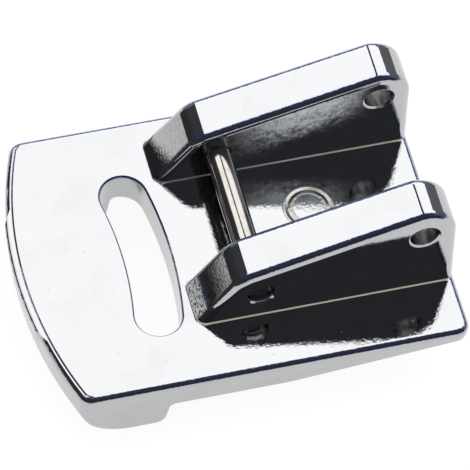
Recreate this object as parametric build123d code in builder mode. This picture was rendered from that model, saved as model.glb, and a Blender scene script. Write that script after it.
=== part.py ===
from build123d import *
import os
from math import asin, cos, degrees, radians, sin, sqrt, tan

# Clip-on gathering foot for a sewing machine: a die-cast plate with a thick front sole and
# two ears, and the steel cross pin that the machine's sprung ankle clips onto.
# The origin is on the pin's axis, midway between the ears. +X is the operator's right,
# +Y points to the back of the machine and +Z is up.

# Ears
ear_gap = 8.0              # clear width between the ears, for the ankle
ear_thickness = 3.6        # at the plate
ear_draft = 1.8            # outer walls lean in as they rise
ear_front = 4.3            # foot of the front ramp, ahead of the pin axis
ear_ramp_angle = 58.8      # front ramp, from the plate
ear_top_angle = 16.2       # top face, rising to the rear
ear_height = 4.82          # top face above the plate, straight above the pin axis
ear_brow_radius = 1.8      # ramp into top face
ear_crown_radius = 2.7     # crown, which runs down into the rear face
ear_shoulder_turn = 20.5   # angle at which the top face meets the crown
ear_shoulder_radius = 0.8
ear_rear_lean = 3.0        # rear face leans forward
ear_rear_inset = 0.1       # its foot ahead of the plate's rear edge
ear_edge_radius = 0.6      # long edges
ear_root = 0.3             # how deep the ears run into the plate
ear_base_radius = 0.1      # side walls into the plate

# Cross pin and the front holes that hold it
pin_diameter = 1.8
pin_height = 2.35          # axis above the plate's top face
pin_fit = 0.01             # radial room of the pressed pin in its holes
pin_recess = 0.5           # ends below the ears' outer faces
pin_end_break = 0.2

# Spare holes at the rear of the ears
spare_hole_diameter = 2.0
spare_hole_inset = 2.6     # ahead of the ears' rear foot
spare_hole_drop = 2.4      # below the ears' top face
hole_rim_break = 0.12      # broken rim of every ear hole

# Plate
plate_width = 21.4
plate_shift = 1.25         # plate's centre line, to the right of the ears' centre line
plate_thickness = 2.5
plate_rear = 13.8          # rear edge behind the pin axis
plate_draft = 3.0          # outer walls narrow towards the underside
plate_edge_radius = 0.5    # top edges
lower_edge_radius = 0.2    # edges of the underside
front_reach = 15.25        # crown of the front edge ahead of the pin axis
front_radius = 28.0        # plan radius of the front edge
left_front_corner = 1.1
right_front_corner = 1.1
rear_corner = 1.0
heel_start = 1.3           # underside slopes up from here to the rear edge
heel_blend_radius = 10.0   # flat underside into the slope
rear_thickness = 1.07      # height left at the rear edge

# Thick front sole
sole_thickness = 4.8
sole_step = 7.0            # rear end of the sole ahead of the pin axis
sole_step_draft = 7.0
sole_heel_radius = 0.8
sole_step_fillet = 0.4
nose_radius = 3.5          # upturned nose under the front edge
nose_break = 12.0          # angle at which the nose meets the front wall

# Narrow land along the front edge, and the trimmed casting gate in the middle of it
land_width = 0.46
land_drop = 0.05
gate_width = 10.2
gate_proud = 0.1
gate_run = 0.3             # length over which each end runs out into the front edge
gate_height = 1.3
gate_edge_radius = 0.19

# Needle slot
slot_width = 3.22
slot_length = 12.9
slot_radius = 27.0         # plan radius of its centre line
slot_ahead = 6.2           # its middle ahead of the pin axis
slot_shift = 0.1           # its middle to the right of the plate's centre line
slot_rim_break = 0.12

# Ejector mark on the plate between the ears: a shallow ring groove
mark_diameter = 2.9        # of the groove's bottom
mark_width = 0.4
mark_back = 5.55           # behind the pin axis
mark_depth = 0.05

cut_room = 1.0             # how far cutting profiles run past the metal

# Levels and edges that follow from the sizes above
plate_top = -pin_height
plate_under = plate_top - plate_thickness
sole_under = plate_top - sole_thickness
plate_left = plate_shift - plate_width / 2
plate_right = plate_shift + plate_width / 2
ear_outside = ear_gap / 2 + ear_thickness
ear_rear = plate_rear - ear_rear_inset
front_centre = front_radius - front_reach
front_side = front_centre - sqrt(front_radius**2 - (plate_width / 2) ** 2)
front_origin = (plate_shift, front_centre, 0)
front_axis = Axis(front_origin, (0, 0, 1))
draft_slope = tan(radians(plate_draft))
ramp_slope = tan(radians(ear_ramp_angle))
top_slope = tan(radians(ear_top_angle))


# Vertical plane through the front edge's axis: local X is the radius and local Y the height
def radial_plane(angle):
    turn = radians(angle)
    return Plane(front_origin, x_dir=(sin(turn), -cos(turn), 0), z_dir=(-cos(turn), -sin(turn), 0))


# Point in plan at a radius from the front edge's axis
def front_point(radius, angle):
    turn = radians(angle)
    return (plate_shift + radius * sin(turn), front_centre - radius * cos(turn))


# One ear, from its root inside the plate up, with all its long edges rounded. The crown's centre
# is a radius ahead of the rear face, and below the top face by less than that
top_turn = radians(ear_top_angle)
rear_turn = radians(ear_rear_lean)
brow_y = (ear_height - ear_front * ramp_slope) / (ramp_slope - top_slope)
brow_z = plate_top + ear_height + brow_y * top_slope
crown_rise = ear_height * cos(top_turn) - ear_crown_radius * cos(radians(ear_shoulder_turn))
crown_reach = ear_rear * cos(rear_turn) - ear_crown_radius
crown_y = (crown_reach * cos(top_turn) - crown_rise * sin(rear_turn)) / cos(top_turn - rear_turn)
crown_z = (crown_reach * sin(top_turn) + crown_rise * cos(rear_turn)) / cos(top_turn - rear_turn)
crown_arc = 90 + ear_top_angle - ear_shoulder_turn - ear_rear_lean
with BuildPart() as ear:
    with BuildSketch(Plane.YZ.offset(ear_gap / 2)) as ear_profile:
        with BuildLine():
            crown = CenterArc(
                (crown_y, plate_top + crown_z), ear_crown_radius, ear_rear_lean, crown_arc
            )
            Polyline(
                crown @ 1,
                (brow_y, brow_z),
                (-ear_front - ear_root / ramp_slope, plate_top - ear_root),
                (ear_rear + ear_root * tan(rear_turn), plate_top - ear_root),
                crown @ 0,
            )
        make_face()
        fillet(ear_profile.vertices().sort_by(Axis.Y)[-1], ear_shoulder_radius)
        fillet(ear_profile.vertices().sort_by_distance((brow_y, brow_z))[0], ear_brow_radius)
    extrude(amount=ear_thickness)
    draft(ear.faces().sort_by(Axis.X)[-1], Plane.XY.offset(plate_top), ear_draft)
    wall_edges = ear.faces().sort_by(Axis.X)[0].edges() + ear.faces().sort_by(Axis.X)[-1].edges()
    fillet(wall_edges - wall_edges.group_by(Axis.Z)[0], ear_edge_radius)


# The four side walls of the ears
def ear_walls(solid):
    upright = cos(radians(2 * ear_draft))
    above = solid.faces().filter_by(lambda face: face.center().Z > plate_top)
    return above.filter_by(lambda face: abs(face.normal_at().X) > upright)


# Trimmed gate, cut to a plan whose slanted sides run its ends out into the front edge
land_start = front_radius - land_width
land_flat = land_start + land_drop
land_level = plate_top - land_drop
gate_half_angle = degrees(asin(gate_width / 2 / front_radius))
gate_end_angle = degrees(gate_run / front_radius)
gate_foot = plate_top - gate_height
with BuildPart() as gate:
    with BuildSketch(radial_plane(-gate_half_angle - gate_end_angle)) as gate_section:
        with BuildLine():
            Polyline(
                (land_flat, land_level),
                (front_radius + gate_proud, land_level),
                (front_radius + gate_proud, land_level - gate_edge_radius - gate_proud),
                (front_radius - gate_height * draft_slope, gate_foot),
                (land_flat, gate_foot),
                close=True,
            )
        make_face()
        gate_edge = gate_section.vertices().sort_by_distance((front_radius + gate_proud, land_level))[0]
        fillet(gate_edge, gate_edge_radius)
    revolve(axis=front_axis, revolution_arc=2 * (gate_half_angle + gate_end_angle))
    slant = cut_room / gate_proud
    with BuildSketch(Plane.XY.offset(gate_foot)):
        with BuildLine():
            Polyline(
                front_point(front_radius + cut_room, gate_half_angle - slant * gate_end_angle),
                front_point(front_radius - cut_room, gate_half_angle + slant * gate_end_angle),
                front_point(front_radius - cut_room, -gate_half_angle - slant * gate_end_angle),
                front_point(front_radius + cut_room, -gate_half_angle + slant * gate_end_angle),
                close=True,
            )
        make_face()
    extrude(amount=gate_height, mode=Mode.INTERSECT)


with BuildPart() as foot_body:
    # Plan outline with a crowned front edge, narrowing downwards by the casting draft
    with BuildSketch(Plane.XY.offset(plate_top)) as plan:
        with BuildLine():
            Polyline(
                (plate_left, front_side),
                (plate_left, plate_rear),
                (plate_right, plate_rear),
                (plate_right, front_side),
            )
            ThreePointArc(
                (plate_right, front_side),
                (plate_shift, -front_reach),
                (plate_left, front_side),
            )
        make_face()
        fillet(plan.vertices().sort_by_distance((plate_left, front_side))[0], left_front_corner)
        fillet(plan.vertices().sort_by_distance((plate_right, front_side))[0], right_front_corner)
        fillet(plan.vertices().group_by(Axis.Y)[-1], rear_corner)
    extrude(amount=-sole_thickness)
    draft(foot_body.faces().sort_by(Axis.Z)[1:-1], Plane.XY.offset(plate_top), -plate_draft)

    # Underside behind the sole: a step up, then a flat that slopes up to the rear
    heel_slope = (plate_thickness - rear_thickness) / (plate_rear - heel_start)
    slope_end = plate_rear + cut_room
    slope_top = plate_under + (slope_end - heel_start) * heel_slope
    step_foot = -sole_step - (plate_under - sole_under + cut_room) * tan(radians(sole_step_draft))
    with BuildSketch(Plane.YZ) as relief:
        with BuildLine():
            Polyline(
                (heel_start, plate_under),
                (slope_end, slope_top),
                (slope_end, sole_under - cut_room),
                (step_foot, sole_under - cut_room),
                (-sole_step, plate_under),
                close=True,
            )
        make_face()
        fillet(relief.vertices().sort_by_distance((heel_start, plate_under))[0], heel_blend_radius)
        fillet(relief.vertices().sort_by_distance((-sole_step, plate_under))[0], sole_step_fillet)
    extrude(amount=plate_width, both=True, mode=Mode.SUBTRACT)
    sole_heel = foot_body.edges().filter_by(Axis.X).group_by(Axis.Z)[0].sort_by(Axis.Y)[-1]
    fillet(sole_heel, sole_heel_radius)

    # Upturned nose, tangent to the sole, that meets the drafted front wall at a blunt angle
    nose_end = plate_draft + nose_break
    nose_top = sole_under + nose_radius * (1 - sin(radians(nose_end)))
    nose_wall = front_radius - (plate_top - nose_top) * draft_slope
    nose_centre = nose_wall - nose_radius * cos(radians(nose_end))
    with BuildSketch(radial_plane(0)):
        with BuildLine():
            nose = CenterArc(
                (nose_centre, sole_under + nose_radius), nose_radius, -90, 90 - nose_end
            )
            Polyline(
                nose @ 1,
                (front_radius + cut_room, nose_top),
                (front_radius + cut_room, sole_under - cut_room),
                (nose_centre, sole_under - cut_room),
                nose @ 0,
            )
        make_face()
    revolve(axis=front_axis, mode=Mode.SUBTRACT)

    # Broken edge where the walls end at the underside
    skin = foot_body.faces().group_by(lambda face: face.bounding_box().max.Z)[-1]
    underside = foot_body.faces() - skin
    fillet(skin.edges() & underside.edges(), lower_edge_radius)

    # Rounded top edge all round the plate
    fillet(foot_body.faces().sort_by(Axis.Z)[-1].edges(), plate_edge_radius)

    # Needle slot: an arc that bows to the rear, with full round ends and a broken upper rim
    slot_half_angle = degrees(asin((slot_length - slot_width) / 2 / slot_radius))
    slot_middle = (plate_shift + slot_shift, -slot_ahead - slot_radius)
    with BuildSketch(Plane.XY.offset(plate_top)):
        with BuildLine(mode=Mode.PRIVATE) as slot_line:
            CenterArc(slot_middle, slot_radius, 90 - slot_half_angle, 2 * slot_half_angle)
        SlotArc(slot_line.edge(), slot_width)
    extrude(amount=-sole_thickness, mode=Mode.SUBTRACT)
    chamfer(foot_body.faces().sort_by(Axis.Z)[-1].inner_wires().edges(), slot_rim_break)

    # Ears, the left one a mirror image of the right, with fillets where their walls meet the plate
    add(ear.part)
    mirror(ear.part, about=Plane.YZ)
    wall_feet = ear_walls(foot_body).edges().filter_by(Axis.Y)
    fillet(wall_feet, ear_base_radius)

    # Ejector mark, its flanks drawn on past the plate's face
    with BuildSketch(Plane.XZ.offset(-mark_back)):
        with BuildLine():
            Polyline(
                (mark_diameter / 2, plate_top - mark_depth),
                (mark_diameter / 2 + mark_width, plate_top + mark_depth),
                (mark_diameter / 2 - mark_width, plate_top + mark_depth),
                close=True,
            )
        make_face()
    revolve(axis=Axis((0, mark_back, 0), (0, 0, 1)), mode=Mode.SUBTRACT)

    # Pin holes and spare holes, through both ears
    spare_hole_back = ear_rear - spare_hole_inset
    spare_hole_z = plate_top + ear_height + spare_hole_back * top_slope - spare_hole_drop
    with BuildSketch(Plane.YZ):
        Circle(pin_diameter / 2 + pin_fit)
        with Locations((spare_hole_back, spare_hole_z)):
            Circle(spare_hole_diameter / 2)
    extrude(amount=ear_outside, both=True, mode=Mode.SUBTRACT)
    for wall in ear_walls(foot_body):
        chamfer(wall.inner_wires().edges(), hole_rim_break)

    # Land along the front edge
    with BuildSketch(radial_plane(0)):
        with BuildLine():
            Polyline(
                (land_start, plate_top + cut_room),
                (land_start, plate_top),
                (land_flat, land_level),
                (front_radius + cut_room, land_level),
                (front_radius + cut_room, plate_top + cut_room),
                close=True,
            )
        make_face()
    revolve(axis=front_axis, mode=Mode.SUBTRACT)

    # Trimmed gate: stands a little proud of the front edge and runs out into the wall below
    add(gate.part)

pin_length = 2 * (ear_outside - pin_recess)
with BuildPart() as cross_pin:
    with BuildSketch(Plane.YZ.offset(-pin_length / 2)):
        Circle(pin_diameter / 2)
    extrude(amount=pin_length)
    chamfer(cross_pin.edges(), pin_end_break)

os.makedirs("parts", exist_ok=True)

foot_body.part.label = "foot_body"
export_step(foot_body.part, "parts/foot_body.step")

cross_pin.part.label = "cross_pin"
export_step(cross_pin.part, "parts/cross_pin.step")
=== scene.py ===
from math import cos, pi, radians, sin, tan
from types import SimpleNamespace

import bpy
from mathutils import Matrix, Vector


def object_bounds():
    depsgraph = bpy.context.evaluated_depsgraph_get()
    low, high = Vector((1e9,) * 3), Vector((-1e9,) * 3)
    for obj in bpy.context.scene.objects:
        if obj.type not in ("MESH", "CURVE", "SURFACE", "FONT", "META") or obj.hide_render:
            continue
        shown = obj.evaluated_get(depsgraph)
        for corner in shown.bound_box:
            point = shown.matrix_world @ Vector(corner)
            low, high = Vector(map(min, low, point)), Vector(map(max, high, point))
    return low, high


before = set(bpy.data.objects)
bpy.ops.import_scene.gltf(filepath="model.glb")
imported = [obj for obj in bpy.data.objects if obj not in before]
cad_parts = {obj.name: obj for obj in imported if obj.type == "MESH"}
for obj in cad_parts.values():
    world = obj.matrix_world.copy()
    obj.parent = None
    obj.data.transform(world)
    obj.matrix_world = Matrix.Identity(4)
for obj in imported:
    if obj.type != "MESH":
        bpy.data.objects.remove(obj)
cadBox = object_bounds()
mm = 0.001
micrometre = 1e-6
print("frame loaded:", ", ".join(sorted(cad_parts)))


class Wire:  # a node's socket that can stand in a sum
    def __init__(self, tree, socket):
        self.tree = tree
        self.socket = socket

    def calc(self, operation, *values):
        return self.tree.node("ShaderNodeMath", {"operation": operation}, dict(enumerate(values)))

    def size(self):  # without its sign
        return self.calc("ABSOLUTE", self)

    def other(self, output):  # another output of the same node
        return Wire(self.tree, self.socket.node.outputs[output])

    def __add__(self, value):
        return self.calc("ADD", self, value)

    def __radd__(self, value):
        return self.calc("ADD", value, self)

    def __sub__(self, value):
        return self.calc("SUBTRACT", self, value)

    def __rsub__(self, value):
        return self.calc("SUBTRACT", value, self)

    def __mul__(self, value):
        return self.calc("MULTIPLY", self, value)

    def __rmul__(self, value):
        return self.calc("MULTIPLY", value, self)

    def __truediv__(self, value):
        return self.calc("DIVIDE", self, value)

    def __rtruediv__(self, value):
        return self.calc("DIVIDE", value, self)

    def __pow__(self, value):
        return self.calc("POWER", self, value)

    def __rpow__(self, value):
        return self.calc("POWER", value, self)


class Tree:
    def __init__(self, nodeTree):
        self.nodeTree = nodeTree
        nodeTree.nodes.clear()

    def node(self, kind, settings=None, sockets=None, output=0):
        made = self.nodeTree.nodes.new(kind)
        for name, value in (settings or {}).items():
            setattr(made, name, value)
        for name, value in (sockets or {}).items():
            if isinstance(value, Wire):
                self.nodeTree.links.new(value.socket, made.inputs[name])
            else:
                made.inputs[name].default_value = value
        return Wire(self, made.outputs[output]) if made.outputs else None

    def place(self):  # position on the part, in millimetres
        metres = self.node("ShaderNodeTexCoord", output="Object")
        settings = {"operation": "SCALE"}
        return self.node("ShaderNodeVectorMath", settings, {0: metres, "Scale": 1 / mm})

    def noise(self, place, size, detail=2.0, roughness=0.5):  # size of a blotch, in place's unit
        sockets = {"Vector": place, "Scale": 1 / size, "Detail": detail, "Roughness": roughness}
        return self.node("ShaderNodeTexNoise", {}, sockets)

    def stretch(self, place, factors):
        settings = {"operation": "MULTIPLY"}
        return self.node("ShaderNodeVectorMath", settings, {0: place, 1: factors})

    def step(self, value, low, high):  # 0 at low, 1 at high, smooth between them
        settings = {"interpolation_type": "SMOOTHSTEP"}
        return self.node("ShaderNodeMapRange", settings, {"Value": value, 1: low, 2: high})

    def span(self, value, start, end):  # 1 between two steps
        return self.step(value, *start) * self.step(value, *end)

    def facing(self, direction):  # cosine of the angle between the surface's normal and a direction
        normal = self.node("ShaderNodeNewGeometry", output="Normal")
        settings = {"operation": "DOT_PRODUCT"}
        return self.node("ShaderNodeVectorMath", settings, {0: normal, 1: direction}, "Value")

    def bump(self, height):  # height in micrometres
        sockets = {"Height": height, "Distance": micrometre, "Strength": 1.0}
        return self.node("ShaderNodeBump", {}, sockets)

    def tint(self, share, colourA, colourB):  # the second colour where share is 1
        settings = {"data_type": "RGBA"}
        return self.node("ShaderNodeMix", settings, {0: share, 6: colourA, 7: colourB}, output=2)


def newMaterial(name):
    material = bpy.data.materials.new(name)
    material.use_nodes = True
    return material, Tree(material.node_tree)


def dress(nodeName, material):
    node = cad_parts[nodeName]
    node.data.materials.clear()
    node.data.materials.append(material)


# Sizes in mm and heights in micrometres. A fade is 0 at its first number and 1 at its second
plating = {
    "bright": (0.488, 0.490, 0.498, 1),
    "hazy": (0.448, 0.450, 0.457, 1),
    "haze": 3.0,                   # blotch size, as the other sizes of a texture
    "hazeFade": (0.45, 0.70),
    "hazeGrain": 0.5,              # share of the grain in it
    "hazeRoughness": 0.02,
    "roughness": 0.03,
    "peel": 0.9,                   # orange peel of the plating
    "peelHeight": 2.0,
    "ripple": 0.25,
    "rippleHeight": 2.0,
    "grain": 0.12,                 # as-cast grain, drawn out sideways
    "grainStretch": (0.5, 1, 1),
    "pit": 1.0,                    # distance between pits
    "pitRadius": 0.06,
    "pitHeight": 4.0,
    # the plate, by the rise over its top
    "plateTop": -2.35,
    "plateFade": ((-0.12, -0.08), (0.005, 0.0)),
    "plateFront": (-7, -4),        # y where the rougher part round the ears begins
    "plateHeight": 3.5,            # extra ripple there
    "sideFade": (-0.15, -0.25),    # walls below the top
    "sideHeight": 3.0,
    "sideRoughness": 0.09,
    # rounded edges of the plate and the ears, uneven, with a painted bluish reflection in their colour
    "edgeReflectionTint": (0.38, 0.41, 0.58, 1),
    "edgeFacing": ((0.53, 0.60), (0.985, 0.955)),  # cosines to straight up
    "edgeFade": ((-0.60, -0.50), (0.02, 0.0)),
    "edgeHeight": 18.0,
    # needle slot
    "slotMiddle": 1.35,
    "slotReach": 7.5,              # to either side of its middle
    "slotEnd": 0.5,                # fade past that
    "slotSpan": ((-9.5, -9.0), (-3.5, -4.0)),  # y
    "slotRim": 0.12,               # its broken rim, rounded off
    "slotRimHeight": 25.0,
    # painted dark reflection along the slot's rim
    "slotReflectionColour": (0.17, 0.20, 0.36, 1),
    "paintedSlotLine": ((0.02, 0.08), (1.7, 1.3)),  # painted dark reflection line, in depths of the rim
    # ear holes
    "holes": ((0, 0, 1.05, 15.0), (11.1, 3.3, 1.14, 45.0)),  # y, z, outer radius and height of the rim
    "rim": 0.14,                   # width of the broken edge
    "bore": 0.20,                  # drawn lines inside
    "boreStretch": (0.04, 1, 1),
    "boreHeight": 10.0,
    "boreFade": 0.02,
    "boreRoughness": 0.07,
    "mouthFade": 0.03,
    "mouthRoughness": 0.08,
    # ejector ring
    "ringPlace": 5.55,             # y
    "ringRadii": (1.15, 1.75),
    "ringFade": 0.1,
    "ringColour": (0.44, 0.435, 0.41, 1),
    "ringRoughness": 0.16,
    "discGrain": 0.7,              # share of the ramps' grain inside it
    # ears
    "rightFade": (0, 1),           # x from the left ear's half to the right one's
    "sideFacing": (0.15, 0.30),
    "rampSlope": 58.8,             # degrees from the plate
    "rampFacing": (0.95, 0.99),
    "rampColour": (0.405, 0.408, 0.412, 1),
    "rampHeight": 8.0,
    "footColour": (0.52, 0.54, 0.53, 1),  # bare foot of the right ramp
    "footRise": 1.15,
    "footRipple": 0.5,
    "footFade": (0.4, 0.1),
    "footGrain": (0.40, 0.55),
    "seamColour": (0.50, 0.50, 0.385, 1),  # where the ears meet the plate
    "seamSpan": ((0.002, 0.01), (0.13, 0.10)),
    "seamLoss": 0.7,               # share that it loses towards the front of the left ear
    "seamRun": (11, -2),           # y
    "wallPlace": 4.0,              # walls between the ears, from the middle
    "wallFade": (0.03, 0.01),
    "wallFoot": (0.05, 0.15),
    "wallHeight": 3.0,
    "reflectionBandColour": (0.89, 0.95, 1.0, 1),  # painted reflection: a near-white matt band under the left ear's top
    "reflectionBandSlope": 0.27,            # as steep as the top
    "reflectionBandRise": (0.4, 3.8),
    "reflectionBandSpan": ((-0.5, 5.5), (11, 7.5)),  # y
    "reflectionBandBlotch": 0.35,
    "reflectionBandMottle": (0.12, 0.65),
    "reflectionBandCloud": 1.4,
    "reflectionBandRagged": 3.0,            # how far the blotches move its lower edge
    "reflectionBandRoughness": 0.45,
    "bareRoughness": 0.35,
    "bareness": 0.95,              # share of dull metal in the foot, the seam and the painted reflection band
}


def castingPlace(tree):
    place = tree.place()
    x = tree.node("ShaderNodeSeparateXYZ", {}, {"Vector": place})
    y, z = x.other("Y"), x.other("Z")
    return SimpleNamespace(whole=place, x=x, y=y, z=z, rise=z - plating["plateTop"])


def castingSkin(tree, place):  # the textures, each from 0 to 1
    s = plating
    cells = tree.node("ShaderNodeTexVoronoi", {}, {"Vector": place, "Scale": 1 / s["pit"]})
    grain = tree.noise(tree.stretch(place, s["grainStretch"]), s["grain"], detail=2.0, roughness=0.6)
    hazy = tree.step(tree.noise(place, s["haze"], detail=4.0), *s["hazeFade"])
    return SimpleNamespace(
        grain=grain,
        haze=(1 - s["hazeGrain"]) * hazy + s["hazeGrain"] * grain,
        peel=tree.noise(place, s["peel"], detail=1.0),
        ripple=tree.noise(place, s["ripple"], detail=3.0),
        lines=tree.noise(tree.stretch(place, s["boreStretch"]), s["bore"], detail=2.0),
        blotch=tree.noise(place, s["reflectionBandBlotch"], detail=4.0, roughness=0.75),
        cloud=tree.noise(place, s["reflectionBandCloud"], detail=2.0),
        pit=tree.step(cells, s["pitRadius"] / s["pit"], 0),
    )


def earZones(tree, at, skin):
    s = plating
    rightEar = tree.step(at.x, *s["rightFade"])
    leftEar = 1 - rightEar
    sideways = tree.step(tree.facing((1, 0, 0)).size(), *s["sideFacing"])

    slope = radians(s["rampSlope"])
    ramp = tree.step(tree.facing((0, -sin(slope), cos(slope))), *s["rampFacing"])
    footEdge = at.rise + s["footRipple"] * skin.ripple - s["footRise"]
    foot = ramp * rightEar * tree.step(footEdge, *s["footFade"])

    seam = sideways * tree.span(at.rise, *s["seamSpan"])
    seam = seam * (1 - s["seamLoss"] * leftEar * tree.step(at.y, *s["seamRun"]))

    wall = tree.step(at.x.size() - s["wallPlace"], *s["wallFade"])
    leftWall = wall * leftEar * tree.step(at.rise, *s["wallFoot"])
    # painted reflection: a near-white band on the left ear's inner wall, with ragged blotches
    ragged = s["reflectionBandRagged"] * (skin.cloud + skin.blotch - 1)
    band = tree.step(at.rise - s["reflectionBandSlope"] * at.y + ragged, *s["reflectionBandRise"])
    band = band * tree.span(at.y, *s["reflectionBandSpan"])
    return SimpleNamespace(
        sideways=sideways,
        ramp=ramp,
        foot=foot * tree.step(skin.grain, *s["footGrain"]),
        seam=seam,
        leftWall=leftWall,
        reflectionBand=leftWall * band * tree.step(skin.blotch, *s["reflectionBandMottle"]),
    )


def holeZones(tree, at):  # the bores, the heights of their broken rims and the mouths
    s = plating
    bores = rims = mouths = 0.0
    for holeY, holeZ, radius, rimHeight in s["holes"]:
        away = ((at.y - holeY) ** 2 + (at.z - holeZ) ** 2) ** 0.5
        inner = radius - s["rim"]
        bores = tree.step(away, inner + s["boreFade"], inner) + bores
        rims = rimHeight * tree.step(away, radius, inner) + rims
        mouths = tree.step(away, radius + s["mouthFade"], radius) + mouths
    return bores, rims, mouths


def ringZones(tree, at, plate):  # the ejector's whole disc and the ring round it
    s = plating
    inner, outer = s["ringRadii"]
    away = (at.x ** 2 + (at.y - s["ringPlace"]) ** 2) ** 0.5
    disc = plate * tree.step(away, outer + s["ringFade"], outer)
    return disc, disc * tree.step(away, inner - s["ringFade"], inner)


def slotZones(tree, at):  # the rounding of the slot's rim and the painted dark reflection line along it
    s = plating
    aside = (at.x - s["slotMiddle"]).size()
    inSlot = tree.step(aside, s["slotReach"] + s["slotEnd"], s["slotReach"])
    inSlot = inSlot * tree.span(at.y, *s["slotSpan"])
    depth = at.rise / -s["slotRim"]
    bulge = 4 * depth * (1 - depth)  # 1 half way down the rim
    return inSlot * bulge.calc("MAXIMUM", bulge, 0.0), inSlot * tree.span(depth, *s["paintedSlotLine"])


# the rounded edges, which get bumps and a painted bluish reflection
def edgeZone(tree, at, sideways):
    s = plating
    tilted = tree.span(tree.facing((0, 0, 1)), *s["edgeFacing"])
    brink = tree.span(at.rise, *s["edgeFade"])
    return tilted * brink.calc("MAXIMUM", brink, sideways)


def chromePlate():
    s = plating
    material, tree = newMaterial("chromePlate")
    at = castingPlace(tree)
    skin = castingSkin(tree, at.whole)
    ear = earZones(tree, at, skin)
    plate = tree.span(at.rise, *s["plateFade"]) * tree.step(at.y, *s["plateFront"])
    side = tree.step(at.rise, *s["sideFade"])
    bores, rims, mouths = holeZones(tree, at)
    disc, ring = ringZones(tree, at, plate)
    slotRound, paintedSlotLine = slotZones(tree, at)
    edge = edgeZone(tree, at, ear.sideways) * (1 - disc) * (1 - mouths)

    cast = s["rampHeight"] * (ear.ramp + s["discGrain"] * disc + ring)
    cast = cast + s["wallHeight"] * ear.leftWall + s["sideHeight"] * side
    height = s["peelHeight"] * skin.peel + (s["rippleHeight"] + s["plateHeight"] * plate) * skin.ripple
    height = height + cast * skin.grain + s["boreHeight"] * bores * skin.lines
    height = height + rims - s["pitHeight"] * skin.pit + s["slotRimHeight"] * slotRound
    height = height + s["edgeHeight"] * edge * (skin.ripple - 0.5)  # 0.5 is the ripple's mean

    roughness = s["roughness"] + s["hazeRoughness"] * skin.haze + s["reflectionBandRoughness"] * ear.reflectionBand
    roughness = roughness + s["ringRoughness"] * ring + s["bareRoughness"] * (ear.seam + ear.foot)
    roughness = roughness + s["boreRoughness"] * bores + s["mouthRoughness"] * mouths
    roughness = roughness + s["sideRoughness"] * side

    colour = tree.tint(skin.haze, s["bright"], s["hazy"])
    zones = (
        (ear.ramp, "rampColour"),
        (ring, "ringColour"),
        # painted bluish reflection on the rounded edges
        (edge, "edgeReflectionTint"),
        # painted reflection on the left ear's inner wall
        (ear.reflectionBand, "reflectionBandColour"),
        # painted dark reflection along the slot's rim
        (paintedSlotLine, "slotReflectionColour"),
        (ear.seam, "seamColour"),
        (ear.foot, "footColour"),
    )
    for zone, name in zones:
        colour = tree.tint(zone, colour, s[name])

    shader = tree.node("ShaderNodeBsdfPrincipled", {}, {
        "Base Color": colour,
        "Metallic": 1 - s["bareness"] * (ear.seam + ear.foot + ear.reflectionBand),
        "Roughness": roughness,
        "Normal": tree.bump(height),
    })
    tree.node("ShaderNodeOutputMaterial", {}, {"Surface": shader})
    return material


pinSteel = {
    "light": (0.47, 0.44, 0.415, 1),
    "dull": (0.40, 0.37, 0.34, 1),
    "wear": 0.8,                   # size of a dull patch, mm
    "wearFade": (0.40, 0.75),
    "roughness": 0.07,
    "streak": 0.06,                # width of a drawing line, mm
    "streakStretch": (0.03, 1, 1),
    "streakHeight": 1.5,           # micrometres
    "streakRoughness": 0.08,
}


def drawnSteel():
    s = pinSteel
    material, tree = newMaterial("drawnSteel")
    place = tree.place()
    streak = tree.noise(tree.stretch(place, s["streakStretch"]), s["streak"], detail=3.0)
    worn = tree.step(tree.noise(place, s["wear"], detail=3.0), *s["wearFade"])
    shader = tree.node("ShaderNodeBsdfPrincipled", {}, {
        "Base Color": tree.tint(worn, s["light"], s["dull"]),
        "Metallic": 1.0,
        "Roughness": s["roughness"] + s["streakRoughness"] * streak,
        "Normal": tree.bump(s["streakHeight"] * streak),
    })
    tree.node("ShaderNodeOutputMaterial", {}, {"Surface": shader})
    return material


dress("foot_body", chromePlate())
dress("cross_pin", drawnSteel())
print("finishes on")


studio = {  # metres from the pin, where no other unit is given
    "height": 0.30,            # lamps above the pin
    "lampLeft": -2.0,          # lamp edges, as shares of the height
    "lampRight": 0.05,
    "lampRows": ((-0.42, -0.08), (0.10, 1.41)),
    "pinRow": (-0.97, -0.42),  # lights only the pin
    "lampGlow": 1.88,
    "tentReach": 0.70,         # dark cloths in front, to the left and behind
    "tentRight": 0.25,         # the right one
    "tentSill": 10,            # degrees up to its lower edge
    "roofGap": 5 * mm,         # roof cloths above the lamps
    "roofLeft": -0.35,         # left edge of the dark one
    "cardFront": 0.045,        # low card ahead of the part
    "cardLeft": -0.045,
    "cardTop": 0.030,
    "cloth": {                 # what each one gives back
        "front": (0.053, 0.054, 0.058, 1),
        "left": (0.220, 0.245, 0.280, 1),
        "rear": (0.190, 0.190, 0.200, 1),
        "right": (0.046, 0.048, 0.072, 1),
        "roof": (0.068, 0.070, 0.082, 1),
        "leftRoof": (0.270, 0.300, 0.350, 1),
        "rearRoof": (0.185, 0.192, 0.260, 1),
        "card": (0.053, 0.054, 0.058, 1),
    },
    "floorGap": 0.05 * mm,     # floor below the sole
    "floorReach": 1.5,
    "floorGrey": (0.12, 0.12, 0.12, 1),
    "floorGlow": 0.90,
    "skyWhite": (1, 1, 1, 1),
    "skyGlow": 1.0,
}
floorLevel = cadBox[0].z - studio["floorGap"]


def seenRays(tree):  # 1 for the rays that see the background: camera, mirror and glass
    rays = tree.node("ShaderNodeLightPath", output="Is Camera Ray")
    seen = rays + rays.other("Is Glossy Ray") + rays.other("Is Transmission Ray")
    return seen.calc("MINIMUM", seen, 1.0)


def upright(start, end, low, high):  # corners of a sheet over a line on the floor
    return [(*start, low), (*end, low), (*end, high), (*start, high)]


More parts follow.
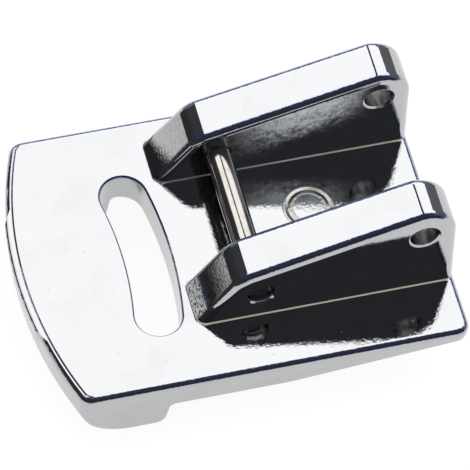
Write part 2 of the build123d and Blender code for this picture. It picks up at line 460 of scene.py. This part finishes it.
def level(left, right, front, rear, z):
    return [(left, front, z), (right, front, z), (right, rear, z), (left, rear, z)]


def sheet(name, corners, material):
    mesh = bpy.data.meshes.new(name)
    mesh.from_pydata(corners, [], [tuple(range(len(corners)))])
    mesh.materials.append(material)
    thing = bpy.data.objects.new(name, mesh)
    bpy.context.scene.collection.objects.link(thing)
    return thing


def paleFloor():
    s = studio
    material, tree = newMaterial("paleFloor")
    matt = tree.node("ShaderNodeBsdfDiffuse", {}, {"Color": s["floorGrey"]})
    glow = tree.node("ShaderNodeEmission", {}, {"Strength": seenRays(tree) * s["floorGlow"]})
    both = tree.node("ShaderNodeAddShader", {}, {0: matt, 1: glow})
    below = tree.node("ShaderNodeNewGeometry", output="Backfacing")
    clear = tree.node("ShaderNodeBsdfTransparent")
    oneSided = tree.node("ShaderNodeMixShader", {}, {0: below, 1: both, 2: clear})
    tree.node("ShaderNodeOutputMaterial", {}, {"Surface": oneSided})
    r = s["floorReach"]
    sheet("floor", level(-r, r, -r, r, floorLevel), material)


def darkTent():
    s = studio
    r, left, right = s["tentReach"], s["roofLeft"], s["tentRight"]
    low, high = floorLevel, s["height"] + s["roofGap"]
    sill = right * tan(radians(s["tentSill"]))
    lampRear = s["lampRows"][-1][1] * s["height"]
    cardY = -s["cardFront"]
    sides = {
        "front": upright((-r, -r), (r, -r), low, high),
        "left": upright((-r, r), (-r, -r), low, high),
        "rear": upright((r, r), (-r, r), low, high),
        "right": upright((right, -r), (right, r), sill, high),
        "roof": level(left, r, -r, lampRear, high),
        "leftRoof": level(-r, left, -r, lampRear, high),
        "rearRoof": level(-r, r, lampRear, r, high),
        "card": upright((s["cardLeft"], cardY), (r, cardY), low, s["cardTop"]),
    }
    for side, corners in sides.items():
        material, tree = newMaterial(f"{side}Cloth")
        cloth = tree.node("ShaderNodeEmission", {}, {"Color": s["cloth"][side], "Strength": 1.0})
        tree.node("ShaderNodeOutputMaterial", {}, {"Surface": cloth})
        hung = sheet(f"{side}Cloth", corners, material)
        hung.visible_camera = False      # only reflections see the cloth
        hung.visible_diffuse = False
        hung.visible_shadow = False


def softLamp(name, front, rear):
    s = studio
    lamp = bpy.data.lights.new(name, "AREA")
    lamp.shape = "RECTANGLE"
    lamp.size = (s["lampRight"] - s["lampLeft"]) * s["height"]
    lamp.size_y = (rear - front) * s["height"]
    lamp.energy = s["lampGlow"] * pi * lamp.size * lamp.size_y
    holder = bpy.data.objects.new(name, lamp)
    middle = Vector(((s["lampLeft"] + s["lampRight"]) / 2, (front + rear) / 2, 1))
    holder.location = middle * s["height"]
    holder.visible_camera = False
    bpy.context.scene.collection.objects.link(holder)
    return holder


def softLamps():
    for index, row in enumerate(studio["lampRows"]):
        softLamp(f"softLamp{index}", *row)
    pinOnly = bpy.data.collections.new("pinOnly")
    pinOnly.objects.link(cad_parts["cross_pin"])
    softLamp("pinLamp", *studio["pinRow"]).light_linking.receiver_collection = pinOnly


def whiteSky():
    world = bpy.data.worlds.new("whiteSky")
    world.use_nodes = True
    tree = Tree(world.node_tree)
    sockets = {"Color": studio["skyWhite"], "Strength": studio["skyGlow"]}
    sky = tree.node("ShaderNodeBackground", {}, sockets)
    tree.node("ShaderNodeOutputWorld", {}, {"Surface": sky})
    bpy.context.scene.world = world


paleFloor()
darkTent()
softLamps()
whiteSky()
print("studio set up")


view = {
    "azimuth": 68.36,               # degrees, as the next two
    "elevation": 56.99,
    "roll": 8.01,
    "distance": 0.35006,            # metres
    "nearest": 0.01,
    "aim": (0.840, 0.148, -2.822),  # millimetres, as the lens and its sensor
    "lens": 394.37,
    "sensor": 36,
}


def addCamera():
    a, e, r = radians(view["azimuth"]), radians(view["elevation"]), radians(view["roll"])
    back = Vector((sin(a) * cos(e), -cos(a) * cos(e), sin(e)))
    across = Vector((cos(a), sin(a), 0))
    above = back.cross(across)
    right = cos(r) * across + sin(r) * above
    up = cos(r) * above - sin(r) * across
    camera = bpy.data.cameras.new("photoView")
    camera.lens = view["lens"]
    camera.sensor_width = view["sensor"]
    camera.clip_start = view["nearest"]
    holder = bpy.data.objects.new("photoView", camera)
    turn = Matrix((right, up, back)).transposed().to_4x4()
    stand = Vector(view["aim"]) * mm + back * view["distance"]
    holder.matrix_world = Matrix.Translation(stand) @ turn
    bpy.context.scene.collection.objects.link(holder)
    bpy.context.scene.camera = holder


addCamera()
bpy.context.scene.view_settings.view_transform = "Standard"
print("camera placed")
